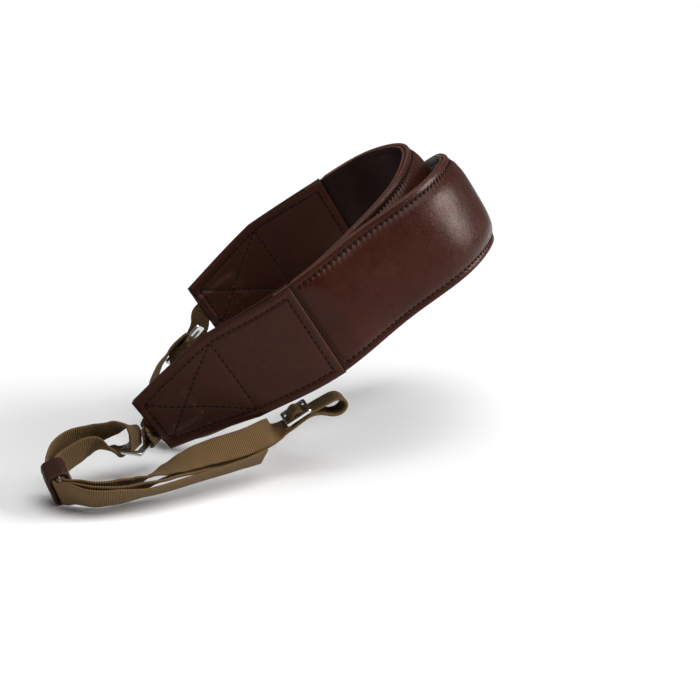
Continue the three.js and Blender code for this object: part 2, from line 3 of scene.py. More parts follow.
import bpy
import numpy as np
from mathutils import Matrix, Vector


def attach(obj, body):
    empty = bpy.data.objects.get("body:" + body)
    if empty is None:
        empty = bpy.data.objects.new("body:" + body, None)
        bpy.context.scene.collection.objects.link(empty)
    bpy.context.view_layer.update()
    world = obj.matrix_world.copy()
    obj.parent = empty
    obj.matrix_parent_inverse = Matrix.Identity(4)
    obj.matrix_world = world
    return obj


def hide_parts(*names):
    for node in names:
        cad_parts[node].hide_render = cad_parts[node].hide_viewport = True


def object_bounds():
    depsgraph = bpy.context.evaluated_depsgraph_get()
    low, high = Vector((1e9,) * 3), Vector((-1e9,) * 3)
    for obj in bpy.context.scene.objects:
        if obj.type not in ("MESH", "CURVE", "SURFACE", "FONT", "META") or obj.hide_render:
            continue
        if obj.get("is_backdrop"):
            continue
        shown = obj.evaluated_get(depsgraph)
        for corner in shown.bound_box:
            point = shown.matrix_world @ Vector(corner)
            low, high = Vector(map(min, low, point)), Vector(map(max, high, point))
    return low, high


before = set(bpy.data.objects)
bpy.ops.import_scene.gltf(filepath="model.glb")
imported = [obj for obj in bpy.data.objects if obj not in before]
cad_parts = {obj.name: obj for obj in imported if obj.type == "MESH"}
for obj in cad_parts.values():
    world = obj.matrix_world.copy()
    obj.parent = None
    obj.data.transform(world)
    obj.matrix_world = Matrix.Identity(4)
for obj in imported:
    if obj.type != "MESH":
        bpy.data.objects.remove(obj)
cad_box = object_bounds()

# Millimetres below, scaled to metres when a mesh is made
MM = 0.001

# Leather band, as in the part's source
PAD_WIDTH = 40
TAB_LENGTH = 75
TAB_TAPER = 38
TAB_WAIST = 38.5
TAB_END_WIDTH = 24
PAD_EDGE = 1.9
PAD_CROWN = 2.4
PAD_FLOOR = -0.5
LINING_TOP = -0.8
LINING_BOTTOM = -2.1
LINING_CROWN = 0.4
TONGUE = 7
TONGUE_TOP = 0.9
TONGUE_MIDDLE = (-0.1, -0.4)
TONGUE_BOTTOM = -1.3
SHOULDER = 3.2  # length over which the pad's edges rise from the tongue
CROWN_POWER = 2.6
FADE = 12  # length over which the padding fades out before the tongue
FADE_END = 0.5  # distance from the tab at which it has gone
PANEL = 1.6
GAP = 0.3
PAD_INSET = 0.4
MOUTH_HALF = 5  # a tab's inside where it holds the ring loop
MOUTH_LENGTH = 16
MOUTH_LIFT = 1.3

# Coil
COIL_YAW = 11.3
COIL_PITCH = 3.2
COIL_ROLL = -32.8
COIL_SEAT = (45, 11.5, 1)

# Webbing and fittings
WEB_WIDTH = 10
WEB_THICK = 1.1
PLY_PITCH = 1.55  # from middle to middle of two plies that lie together
KEEPER_LENGTH = 11
KEEPER_WALL = (1.1, 1.8)
KEEPER_RUN = 0.8  # the plies lie straight this far past its mouths
RING_LENGTH = 22
RING_RAIL = 2.6
RING_SPREAD = 6.2
RING_THICK = 1.3
RING_LOOP_WIDTH = 8
RING_LOOP_THICK = 0.8
RING_LOOP_TAIL = 12
RING_LOOP_EXIT = 1
RING_LOOP_REACH = 3.5
EYE_MOUTH = 40  # degrees from the way to the tab to where the loop starts its turn
RAIL_CORNER = 0.6  # power that squares the turn round a rail: 1 is an ellipse
RAIL_STEP = 36  # degrees between stations of that turn
SLIDER_LENGTH = 11
SLIDER_WIDTH = 14
SLIDER_BAR = 1.2
SLIDER_THICK = 1.2
SLIDER_LEAD = 2.5  # straight way of the webbing before the slider
BAR_FLAT = 0.8  # the webbing lies flat this far on each side of the middle bar
END_FLAT = 0.7  # and this far inside the end bars

# Rounding of the fittings
KEEPER_ROUND = (2.2, 0.5)  # corners of its section, outside and inside
KEEPER_LIP = 0.7
KEEPER_FULL = 0.28  # how far its faces swell
KEEPER_WAVE = 0.08
KEEPER_STITCH = (0.75, 0.35)  # half a stitch of it, along and across
KEEPER_STITCH_PITCH = 2.1
RING_ROUND = (1.4, 0.7)
RING_END = 2.2  # its short sides
RING_BEVEL = 0.35
SLIDER_ROUND = (1.2, 0.5)
SLIDER_BEVEL = 0.3

# View: a frame of FRAME pixels, and a focal length in the same pixels
FRAME = 700
FOCAL = 1150
SENSOR = 36
CAMERA_AT = (-0.0223, -0.4345, 0.0702)
CAMERA_DOWN = 14  # degrees

# Light of the surroundings: what falls on the object, and what the camera sees
WORLD_LIGHT = 0.13
WORLD_SEEN = 1.0

# Sewing
STITCH_PITCH = 2.4
STITCH_LENGTH = 1.75
PAD_STITCH = 1.5  # length of a stitch of the pad
THREAD = 0.3  # radius
PAD_THREAD = 0.34
KEEPER_THREAD = 0.2
THREAD_ROWS = np.array([-1, -0.86, -0.5, 0, 0.5, 0.86, 1])  # from end to end of a stitch
THREAD_SIDES = 8
THREAD_FLAT = 0.8
THREAD_BOW = (0.12, 0.3)  # rise of its middle and drop of its ends
STITCH_SLANT = 0.9  # how far a stitch of the pad runs across its seam
PAD_SEAM = 2.7  # stitch line from the pad's edge
PAD_PRESSED = 0.55  # how far the sewn edge is pressed down
TAB_SEAM = 3.3  # stitch line from the tab's edges
SEAM_WIDTH = 0.62  # of the pad's pulled seam
PIT = (0.16, 0.44)  # depth of that seam, and of the pits along it
TUCK = (0.2, 1.1, 0.9)  # depth of the folds beside it, their place and their width
RELAX = 0.4  # share of the pressing that is gone at the seam
SWELL_POWERS = (3.4, 0.72)  # the padding's section: flat on top, steep at the seam
LINING_SEAM = (0.25, 0.5)  # depth and width of the seam in the lining

# Relief of the tabs: height or depth first, then place or width
TAB_RIM = (0.3, 1.5, 1)
TAB_GROOVE = (0.36, 0.6)
ROOT_GROOVE = 0.2  # how much deeper the grooves are past the waist
TAB_FIELD = 0.16
TAB_RIPPLE = 0.35  # share of the pad's unevenness

# Ribs and yarns of the webbing
RIB_PITCH = 0.74
RIB_HEIGHT = 0.1
RIB_ROUND = 0.8  # power that fills out a rib's section
RIB_ROWS = 4  # mesh rows to a rib
SELVAGE = (0.05, 0.8, 0.5)  # height of the fuller edge, its place and its width
YARN_PITCH = 0.62

# Texture coordinates are millimetres times this
UV_SCALE = 0.01

# Scales of the noises in the materials, in cycles to the metre
MOTTLE_BROAD = 38
MOTTLE_FINE = 420
PORES = 1500
CREASES = 900
WAVES = 120
SHINE = 160
FUZZ = 2600
STAINS = 70
TWIST = 3200
STRANDS = 4200
THREAD_SHINE = 1500
CLOUDS = 90
SCRATCHES = 1800
PAPER = 6

# Middle line of the band in the coil's own frame: x, y, z, and the lean of its width in degrees
BAND_STATIONS = [
    (-72.5, 12, 1, 0), (-34, 1, 2.7, 0), (0, -5, 2, 0), (31, 3, 2, 0), (61, 13, 0, 0),
    (78, 34.3, -2.4, 0), (82.3, 60.5, -7.2, 0), (83.6, 87.5, -13.2, -8), (70, 110, -20, -20),
    (47, 114, -27, -35), (23, 99, -31, -45), (0, 79, -28, -45), (-18, 57, -20.5, -38),
    (-19, 35, -11, -25), (-2, 18, -6, -10), (22, 13, -1, 0), (42, 24, 0, 0), (57, 37, 0.5, 0),
    (68, 54, 1.5, 0), (72, 74, 3, 0), (58, 88, 5.5, 0), (38, 87, 7, 0), (2, 93, 7, 0),
    (-38, 87, 7, 0),
]


def unit(v):
    return v / np.linalg.norm(v, axis=-1, keepdims=True)


def ramp(a, b, x):
    t = np.clip((x - a) / (b - a), 0, 1)
    return t * t * (3 - 2 * t)


def mix(a, b, t):
    return a + (b - a) * t


class SplinePath:
    """Natural cubic spline through points, by chord length."""

    STEPS = 600
    NEARBY = 0.5  # half of the span that gives a tangent

    def __init__(self, points):
        self.points = np.array(points, float)
        steps = np.linalg.norm(np.diff(self.points, axis=0), axis=1)
        self.knots = np.concatenate([[0], np.cumsum(steps)])
        self.bends = self.solve_bends(steps)
        self.table_t = np.linspace(0, self.knots[-1], self.STEPS + 1)
        walk = np.linalg.norm(np.diff(self.at_knot(self.table_t), axis=0), axis=1)
        self.table_s = np.concatenate([[0], np.cumsum(walk)])
        self.length = self.table_s[-1]

    def solve_bends(self, steps):
        n = len(self.points)
        matrix = np.eye(n)
        right = np.zeros((n, 3))
        for i in range(1, n - 1):
            matrix[i, i - 1 : i + 2] = steps[i - 1], 2 * (steps[i - 1] + steps[i]), steps[i]
            ahead = (self.points[i + 1] - self.points[i]) / steps[i]
            behind = (self.points[i] - self.points[i - 1]) / steps[i - 1]
            right[i] = 6 * (ahead - behind)
        return np.linalg.solve(matrix, right)

    def span(self, t):
        """Number of the stretch that holds the knot value t, and the share of it before t."""
        i = np.clip(np.searchsorted(self.knots, t, side="left") - 1, 0, len(self.knots) - 2)
        return i, (t - self.knots[i]) / (self.knots[i + 1] - self.knots[i])

    def at_knot(self, t):
        i, b = self.span(t)
        a = 1 - b
        h = (self.knots[i + 1] - self.knots[i]) ** 2 / 6
        return (
            self.points[i] * a[:, None]
            + self.points[i + 1] * b[:, None]
            + self.bends[i] * ((a**3 - a) * h)[:, None]
            + self.bends[i + 1] * ((b**3 - b) * h)[:, None]
        )

    def knot_at(self, s):
        """Knot value at the length s, also a little way past both ends."""
        inside = np.interp(s, self.table_s, self.table_t)
        before = np.minimum(0, s) * self.table_t[1] / self.table_s[1]
        beyond = np.maximum(0, s - self.length)
        pace = (self.table_t[-1] - self.table_t[-2]) / (self.table_s[-1] - self.table_s[-2])
        return inside + before + beyond * pace

    def point_at(self, s):
        return self.at_knot(self.knot_at(s))

    def tangent_at(self, s):
        ahead = self.point_at(np.minimum(self.length, s + self.NEARBY))
        behind = self.point_at(np.maximum(0, s - self.NEARBY))
        return unit(ahead - behind)


def rotation(axis, degrees):
    angle = math.radians(degrees)
    c, s = math.cos(angle), math.sin(angle)
    matrix = np.eye(3)
    j, k = [(1, 2), (2, 0), (0, 1)][axis]
    matrix[j, j] = matrix[k, k] = c
    matrix[j, k], matrix[k, j] = -s, s
    return matrix


coil = rotation(2, COIL_YAW) @ rotation(0, COIL_PITCH) @ rotation(1, COIL_ROLL)
coil_axis = coil[:, 2]
band = SplinePath([coil @ (np.array(row[:3]) - COIL_SEAT) for row in BAND_STATIONS])


def band_frame(s):
    """Point, width direction and outward normal of the band at lengths along it."""
    s = np.asarray(s, float)
    i, share = band.span(band.knot_at(s))
    leans = np.array([row[3] for row in BAND_STATIONS], float)
    lean = np.radians(mix(leans[i], leans[i + 1], ramp(0, 1, share)))[:, None]
    tangent = band.tangent_at(s)
    wide = unit(coil_axis - tangent * (tangent @ coil_axis)[:, None])
    wide = wide * np.cos(lean) + np.cross(tangent, wide) * np.sin(lean)
    return band.point_at(s), wide, np.cross(tangent, wide)


def station_frame(stations):
    """Frame of a strip through (point, width direction) stations."""
    path = SplinePath([point for point, _ in stations])
    wides = np.array([wide for _, wide in stations])

    def at(s):
        s = np.asarray(s, float)
        i, share = path.span(path.knot_at(s))
        wide = mix(wides[i], wides[i + 1], ramp(0, 1, share)[:, None])
        tangent = path.tangent_at(s)
        wide = unit(wide - tangent * np.sum(wide * tangent, axis=1)[:, None])
        return path.point_at(s), wide, np.cross(tangent, wide)

    return at, path.length


def from_end(s):
    """Distance from the nearer end of the band."""
    return np.minimum(s, band.length - s)


def fullness(s):
    """How far the padding has grown: 0 in the tongue, 1 past the fade."""
    return ramp(TAB_LENGTH + FADE_END, TAB_LENGTH + FADE, from_end(s))


def body(s):
    """How far the pad's edges have risen from the tongue."""
    return ramp(TAB_LENGTH + GAP, TAB_LENGTH + SHOULDER, from_end(s))


def pad_half(s):
    return PAD_WIDTH / 2 - PAD_INSET * (1 - body(s))


def tab_half(s):
    d = from_end(s)
    taper = mix(TAB_END_WIDTH, TAB_WAIST, np.minimum(1, d / TAB_TAPER))
    straight = mix(TAB_WAIST, PAD_WIDTH, (d - TAB_TAPER) / (TAB_LENGTH - TAB_TAPER))
    return np.where(d < TAB_TAPER, taper, straight) / 2


def round_off(distance, radius):
    """How far a face falls towards an edge that is rounded to a radius."""
    x = np.clip(radius - distance, 0, radius)
    return radius - np.sqrt(radius**2 - x**2)


def bump(distance, width):
    return np.exp(-((distance / width) ** 2))


# Mesh makers
EDGE_STEPS = np.array([0, 0.05, 0.17, 0.36, 0.62, 0.95, 1.35])
SEAM_STEPS = np.array(
    [0, 0.05, 0.15, 0.3, 0.5, 0.85, 1.35, 1.8, 2.1, 2.35, 2.6, 2.85, 3.1, 3.4, 3.8, 4.4, 5.2, 6.2]
)


def edge_columns(half, inner, steps=EDGE_STEPS):
    """Positions across a strip, close together at its edges: one row for each length."""
    half = half[:, None]
    middle = np.linspace(-1, 1, inner + 2)[1:-1][None, :] * (half - steps[-1])
    return np.concatenate([-half + steps[None, :], middle, (half - steps[None, :])[:, ::-1]], axis=1)


def new_object(name, data):
    item = bpy.data.objects.new(name, data)
    bpy.context.scene.collection.objects.link(item)
    return item


def smooth_piece(name, mesh, sharp):
    """An object with a smooth mesh, but for edges that turn more than some degrees."""
    mesh.polygons.foreach_set("use_smooth", [True] * len(mesh.polygons))
    mesh.set_sharp_from_angle(angle=math.radians(sharp))
    return new_object(name, mesh)


def shaped_object(name, verts, faces, uvs, look):
    """A piece from points, faces and texture coordinates in millimetres."""
    mesh = bpy.data.meshes.new(name)
    mesh.from_pydata((verts * MM).tolist(), [], faces)
    layer = mesh.uv_layers.new(name="UVMap")
    layer.data.foreach_set("uv", np.asarray(uvs, np.float32).ravel() * UV_SCALE)
    mesh.materials.append(look)
    return smooth_piece(name, mesh, 50)


def ring_faces(rows, count):
    """Quads between rows of points that each close on themselves."""
    i = np.arange(rows - 1)[:, None] * count
    j = np.arange(count)[None, :]
    k = (np.arange(count) + 1) % count
    return np.stack([i + j, i + count + j, i + count + k[None, :], i + k[None, :]], axis=2)


def sweep(name, at, stops, loops, look, rim=None, rim_columns=()):
    """A closed strip: loops holds the section's (across, outward) points at each length.
    The faces that start from rim_columns take the rim's material."""
    point, wide, out = at(stops)
    rows, count = loops.shape[:2]
    verts = (
        point[:, None, :]
        + wide[:, None, :] * loops[..., 0:1]
        + out[:, None, :] * loops[..., 1:2]
    )
    quads = ring_faces(rows, count).reshape(-1, 4)
    around = np.linalg.norm(np.diff(loops, axis=1, append=loops[:, :1]), axis=2)
    c = np.concatenate([[0], np.cumsum(around[rows // 2])])
    s = np.asarray(stops)
    uv = np.empty((rows - 1, count, 4, 2))
    uv[..., 0, 0] = uv[..., 3, 0] = s[:-1, None]
    uv[..., 1, 0] = uv[..., 2, 0] = s[1:, None]
    uv[..., 0, 1] = uv[..., 1, 1] = c[None, :-1]
    uv[..., 2, 1] = uv[..., 3, 1] = c[None, 1:]
    back = list(reversed(range(count)))
    ends = [list(range(count)), [(rows - 1) * count + j for j in back]]
    end_uv = [[(s[0], c[j]) for j in range(count)], [(s[-1], c[j]) for j in back]]
    uvs = np.concatenate([uv.reshape(-1, 2), np.array(end_uv).reshape(-1, 2)])
    piece = shaped_object(name, verts.reshape(-1, 3), quads.tolist() + ends, uvs, look)
    if rim is not None:
        piece.data.materials.append(rim)
        slots = np.zeros((rows - 1, count), int)
        slots[:, list(rim_columns)] = 1
        piece.data.polygons.foreach_set("material_index", [*slots.ravel(), 1, 1])
    return piece


def slab_loops(stops, half, top, bottom, inner, radius, steps=EDGE_STEPS, under=None):
    """Section loops of a slab between two faces, with rounded long edges. A hidden
    underside may have its own number of inner columns."""
    s = np.asarray(stops)[:, None]
    a = edge_columns(half(np.asarray(stops)), inner, steps)
    h = half(np.asarray(stops))[:, None]
    upper = np.stack([a, top(s, a, h) - round_off(h - np.abs(a), radius)], axis=2)
    if under is not None:
        a = edge_columns(half(np.asarray(stops)), under, EDGE_STEPS)
    lower = np.stack([a, bottom(s, a, h) + round_off(h - np.abs(a), radius)], axis=2)[:, ::-1]
    return np.concatenate([upper, lower], axis=1)


def rim_of(loops, upper):
    """Columns of the faces at both rims of a slab whose upper face has some columns."""
    fold = 3
    count = loops.shape[1]
    return [*range(upper - fold, upper + fold - 1), *range(count - fold, count), *range(fold - 1)]


def stitch_mesh(name, places, look, radius=THREAD):
    """One thread for each stitch: places are (start, end, outward) in millimetres."""
    sizes = np.sqrt(np.maximum(0.02, 1 - THREAD_ROWS**4))
    sides = THREAD_SIDES
    verts = []
    faces = []
    for start, end, out in places:
        middle = (start + end) / 2
        along = (end - start) / 2
        side = unit(np.cross(along, out))
        up = unit(np.cross(side, along))
        base = len(verts)
        for turn, size in zip(THREAD_ROWS, sizes):
            lift = THREAD_BOW[0] - THREAD_BOW[1] * turn**2
            for k in range(sides):
                angle = 2 * math.pi * k / sides
                rise = math.sin(angle) * radius * THREAD_FLAT
                spread = side * math.cos(angle) * radius + up * rise
                verts.append(middle + along * turn + up * lift * radius * 2 + spread * size)
        for i in range(len(THREAD_ROWS) - 1):
            for k in range(sides):
                n = (k + 1) % sides
                row = base + i * sides
                faces.append((row + k, row + n, row + sides + n, row + sides + k))
        faces.append(tuple(base + k for k in reversed(range(sides))))
        last = base + (len(THREAD_ROWS) - 1) * sides
        faces.append(tuple(last + k for k in range(sides)))
    uvs = np.zeros((sum(len(f) for f in faces), 2))
    return shaped_object(name, np.array(verts), faces, uvs, look)


def dress(piece, slot, *nodes):
    """Every piece rides on the one body and may stand for a node; the slot is not used."""
    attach(piece, "root")
    if nodes:
        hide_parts(*nodes)


# Materials
class Nodes:
    """Short ways to lay out a material's nodes."""

    def __init__(self, name):
        self.material = bpy.data.materials.new(name)
        self.material.use_nodes = True
        self.tree = self.material.node_tree
        self.shader = self.tree.nodes["Principled BSDF"]
        self.coords = self.tree.nodes.new("ShaderNodeTexCoord")

    def new(self, kind, **values):
        node = self.tree.nodes.new(kind)
        for key, value in values.items():
            setattr(node, key, value)
        return node

    def link(self, source, target):
        self.tree.links.new(source, target)

    def feed(self, name, source):
        self.link(source, self.shader.inputs[name])

    def set(self, **values):
        for key, value in values.items():
            self.shader.inputs[key.replace("_", " ")].default_value = value

    def noise(self, scale, detail=3, rough=0.55):
        node = self.new("ShaderNodeTexNoise")
        node.inputs["Scale"].default_value = scale
        node.inputs["Detail"].default_value = detail
        node.inputs["Roughness"].default_value = rough
        self.link(self.coords.outputs["Object"], node.inputs["Vector"])
        return node.outputs["Fac"]

    def cells(self, scale):
        node = self.new("ShaderNodeTexVoronoi", feature="F1")
        node.inputs["Scale"].default_value = scale
        self.link(self.coords.outputs["Object"], node.inputs["Vector"])
        return node.outputs["Distance"]

    def spread(self, value, low, high, start=0.3, end=0.7):
        node = self.new("ShaderNodeMapRange")
        self.link(value, node.inputs["Value"])
        node.inputs["From Min"].default_value = start
        node.inputs["From Max"].default_value = end
        node.inputs["To Min"].default_value = low
        node.inputs["To Max"].default_value = high
        return node.outputs["Result"]

    def blend(self, share, first, second):
        node = self.new("ShaderNodeMix", data_type="RGBA")
        for value, socket in ((share, 0), (first, 6), (second, 7)):
            if isinstance(value, tuple):
                node.inputs[socket].default_value = (*value, 1)
            elif isinstance(value, float):
                node.inputs[socket].default_value = value
            else:
                self.link(value, node.inputs[socket])
        return node.outputs[2]

    def math(self, operation, first, second=None):
        node = self.new("ShaderNodeMath", operation=operation)
        for value, socket in ((first, 0), (second, 1)):
            if isinstance(value, (int, float)):
                node.inputs[socket].default_value = value
            elif value is not None:
                self.link(value, node.inputs[socket])
        return node.outputs[0]

    def relief(self, height, depth, before=None):
        node = self.new("ShaderNodeBump")
        node.inputs["Distance"].default_value = depth
        self.link(height, node.inputs["Height"])
        if before is not None:
            self.link(before, node.inputs["Normal"])
        return node.outputs["Normal"]

    def uv(self):
        node = self.new("ShaderNodeSeparateXYZ")
        self.link(self.coords.outputs["UV"], node.inputs[0])
        return node.outputs["X"], node.outputs["Y"]


def leather(name, light, dark, worn_and_glint, roughness, gloss):
    """Waxed leather: broad and fine mottling, pores, creases, and rims painted lighter: partly wear,
    partly a painted highlight where their rounding catches the light.
    """
    look = Nodes(name)
    broad = look.spread(look.noise(MOTTLE_BROAD, 4), 0.0, 1.0)
    mottle = look.spread(look.noise(MOTTLE_FINE, 5, 0.65), 0.0, 0.5)
    colour = look.blend(broad, dark, light)
    colour = look.blend(mottle, colour, tuple(0.72 * v for v in dark))
    pores = look.spread(look.cells(PORES), 0.0, 1.0, 0.02, 0.32)
    hollow = look.math("MULTIPLY", look.math("SUBTRACT", 1.0, pores), 0.35)
    colour = look.blend(hollow, colour, tuple(0.4 * v for v in dark))
    geometry = look.new("ShaderNodeNewGeometry")
    # Sharp rims take a lighter colour: partly wear, partly a painted highlight where the rounding
    # catches the light.
    rim_wear_and_glint = look.spread(geometry.outputs["Pointiness"], 0.0, 0.6, 0.54, 0.61)
    look.feed("Base Color", look.blend(rim_wear_and_glint, colour, worn_and_glint))
    shine = look.spread(look.noise(SHINE, 4, 0.6), roughness - 0.05, roughness + 0.07)
    look.feed("Roughness", shine)
    normal = look.relief(look.math("ADD", pores, look.noise(CREASES, 6, 0.7)), 0.05 * MM)
    normal = look.relief(look.noise(WAVES, 3), 0.2 * MM, normal)
    look.feed("Normal", normal)
    look.set(Coat_Weight=0.03, Coat_Roughness=0.28, Specular_IOR_Level=gloss)
    look.set(Specular_Tint=(1.0, 0.72, 0.65, 1.0))
    return look.material


def woven(name, light, dark):
    """Ribbed webbing: ribs across its length, yarns side by side, painted shade in the grooves
    between them, fuzz and faint stains.
    """
    look = Nodes(name)
    along, across = look.uv()
    ribs = look.math("MULTIPLY", along, 2 * math.pi / UV_SCALE / RIB_PITCH)
    wave = look.math("ABSOLUTE", look.math("SINE", look.math("MULTIPLY", ribs, 0.5)))
    row = look.math("FLOOR", look.math("MULTIPLY", along, 1 / UV_SCALE / RIB_PITCH))
    shift = look.math("MULTIPLY", look.math("MODULO", row, 2.0), math.pi)
    yarns = look.math("MULTIPLY", across, 2 * math.pi / UV_SCALE / YARN_PITCH)
    yarn = look.spread(look.math("SINE", look.math("ADD", yarns, shift)), 0.0, 1.0, -0.9, 0.9)
    rib = look.spread(wave, 0.0, 1.0, 0.1, 0.95)
    height = look.math("MULTIPLY", rib, look.spread(yarn, 0.72, 1.0, 0, 1))
    fuzz = look.noise(FUZZ, 4, 0.7)
    stain = look.spread(look.noise(STAINS, 4), 0.0, 0.5)
    # The dark colour fills the grooves between ribs and yarns: painted shade.
    colour = look.blend(look.spread(height, 0.0, 1.0, 0.3, 0.9), dark, light)
    colour = look.blend(look.math("MULTIPLY", fuzz, 0.35), colour, tuple(1.5 * v for v in light))
    colour = look.blend(stain, colour, tuple(0.62 * v for v in light))
    look.feed("Base Color", colour)
    look.feed("Roughness", look.spread(fuzz, 0.7, 0.92))
    relief = look.relief(look.math("ADD", height, look.math("MULTIPLY", fuzz, 0.3)), 0.16 * MM)
    look.feed("Normal", relief)
    look.set(Sheen_Weight=0.06, Sheen_Roughness=0.5, Specular_IOR_Level=0.2)
    return look.material


def thread(name, colour):
    """Twisted sewing thread with lighter strands."""
    look = Nodes(name)
    twist = look.spread(look.noise(TWIST, 2), 0.0, 0.6)
    strands = look.blend(twist, colour, tuple(1.7 * v for v in colour))
    look.feed("Base Color", strands)
    look.feed("Roughness", look.spread(look.noise(THREAD_SHINE), 0.5, 0.75))
    look.feed("Normal", look.relief(look.noise(STRANDS, 2), 0.04 * MM))
    look.set(Specular_IOR_Level=0.12)
    return look.material


def polished(name):
    """Nickelled metal with a slightly uneven colour and fine scratches."""
    look = Nodes(name)
    cloud = look.spread(look.noise(CLOUDS, 3), 0.0, 1.0)
    colour = look.blend(cloud, (0.62, 0.61, 0.59), (0.74, 0.73, 0.71))
    look.feed("Base Color", colour)
    scratches = look.noise(SCRATCHES, 5, 0.75)
    look.feed("Roughness", look.spread(scratches, 0.12, 0.3))
    look.feed("Normal", look.relief(scratches, 0.01 * MM))
    look.set(Metallic=1.0)
    return look.material


PAD_LEATHER = leather(
    "pad_leather",
    light=(0.056, 0.0135, 0.0065), dark=(0.032, 0.008, 0.0042), worn_and_glint=(0.1, 0.032, 0.018),
    roughness=0.29, gloss=0.18,
)
TAB_LEATHER = leather(
    "tab_leather",
    light=(0.058, 0.0195, 0.0115), dark=(0.043, 0.0142, 0.0085), worn_and_glint=(0.15, 0.055, 0.035),
    roughness=0.45, gloss=0.15,
)
LINING = leather(
    "lining_leather",
    light=(0.016, 0.0055, 0.0035), dark=(0.01, 0.0035, 0.0025), worn_and_glint=(0.05, 0.019, 0.012),
    roughness=0.5, gloss=0.25,
)
KEEPER_LEATHER = leather(
    "keeper_leather",
    light=(0.05, 0.018, 0.011), dark=(0.03, 0.0105, 0.007), worn_and_glint=(0.13, 0.05, 0.034),
    roughness=0.5, gloss=0.25,
)
# Lighter leather for the rims of the pad and lining: the cut edges' own colour, and partly a painted
# highlight along the rounded rims.
RAW_EDGE_AND_GLINT = leather(
    "raw_edge_and_glint",
    light=(0.17, 0.07, 0.05), dark=(0.09, 0.035, 0.024), worn_and_glint=(0.24, 0.12, 0.09),
    roughness=0.6, gloss=0.3,
)
# Its dark colour is painted shade for the grooves of the weave.
WEBBING = woven("webbing", light=(0.19, 0.108, 0.038), dark=(0.012, 0.007, 0.003))
DARK_THREAD = thread("dark_thread", (0.009, 0.004, 0.003))
PALE_THREAD = thread("pale_thread", (0.28, 0.18, 0.12))
METAL = polished("polished_metal")


# Padded band
RIPPLES = [
    {"height": 0.09, "along": 17, "across": 11, "phase": 0},
    {"height": 0.06, "along": 7.3, "across": -8, "phase": 1.3},
    {"height": 0.04, "along": 4.1, "across": 5.2, "phase": 0.6},
]


def ripple(s, a):
    """Slight unevenness of stuffed leather."""
    return sum(
        wave["height"] * np.sin(s / wave["along"] + a / wave["across"] + wave["phase"])
        for wave in RIPPLES
    )


def pad_top(s, a, half):
    """The flange at the edge, the sewn line with its slanted pulled stitches, the padding."""
    inset = half - np.abs(a)
    sewn = body(s)
    full = fullness(s)
    pressed = PAD_PRESSED * (1 - RELAX * ramp(0, PAD_SEAM, inset))
    flange = mix(TONGUE_TOP, PAD_EDGE, sewn) - sewn * pressed
    inside = np.clip(np.abs(a) / (half - PAD_SEAM), 0, 1)
    rise = PAD_CROWN + PAD_PRESSED - 0.2
    swell = rise * (1 - inside ** SWELL_POWERS[0]) ** SWELL_POWERS[1]
    phase = s + STITCH_SLANT * (inset - PAD_SEAM)
    pull = 0.5 - 0.5 * np.cos(2 * math.pi * phase / STITCH_PITCH)
    pits = bump(inset - PAD_SEAM, SEAM_WIDTH) * (PIT[0] + PIT[1] * pull)
    tucks = bump(inset - PAD_SEAM - TUCK[1], TUCK[2]) * TUCK[0] * pull
    waves = full * ripple(s, a) * ramp(PAD_SEAM + 0.5, PAD_SEAM + 5, inset)
    return flange + full * swell - sewn * (pits + tucks) + waves


def pad_bottom(s, a, half):
    return mix(TONGUE_MIDDLE[0], PAD_FLOOR, body(s)) + 0 * a


def lining_top(s, a, half):
    return mix(TONGUE_MIDDLE[1], LINING_TOP, body(s)) + 0 * a


def lining_bottom(s, a, half):
    crown = 1 - np.abs(a / half) ** CROWN_POWER
    seam = bump(half - np.abs(a) - PAD_SEAM, LINING_SEAM[1]) * body(s)
    flat = mix(TONGUE_BOTTOM, LINING_BOTTOM, body(s))
    return flat - LINING_CROWN * fullness(s) * crown + LINING_SEAM[0] * seam


def surface_point(at, s, a, height):
    point, wide, out = at(np.array([s]))
    return point[0] + wide[0] * a + out[0] * height, out[0]


def line_stitches(at, lines, height, side=1, slant=0.0, length=STITCH_LENGTH):
    """Stitches along lines in the strip's own (length, across) plane, sunk in its face."""
    places = []
    for (s0, a0), (s1, a1) in lines:
        run = math.hypot(s1 - s0, a1 - a0)
        count = max(1, round(run / STITCH_PITCH))
        for k in range(count):
            centre = (k + 0.5) / count
            reach = length / 2 / run
            ends = []
            for way in (-1, 1):
                s = mix(s0, s1, centre + way * reach)
                a = mix(a0, a1, centre + way * reach) + way * slant * np.sign(a0)
                ends.append(surface_point(at, s, a, height(s, a) + side * 0.02))
            places.append((ends[0][0], ends[1][0], side * ends[0][1]))
    return places


def pad_seam_lines():
    """Both stitch rows of the pad, cut into short straight stretches that follow its bends."""
    start = TAB_LENGTH + SHOULDER / 2
    end = band.length - TAB_LENGTH - SHOULDER / 2
    first = math.ceil(start / STITCH_PITCH)
    last = math.floor(end / STITCH_PITCH)
    cuts = np.arange(first, last) * STITCH_PITCH
    lines = []
    for side in (-1, 1):
        a = side * (PAD_WIDTH / 2 - PAD_SEAM)
        lines += [((s, a), (s + STITCH_PITCH, a)) for s in cuts]
    return lines


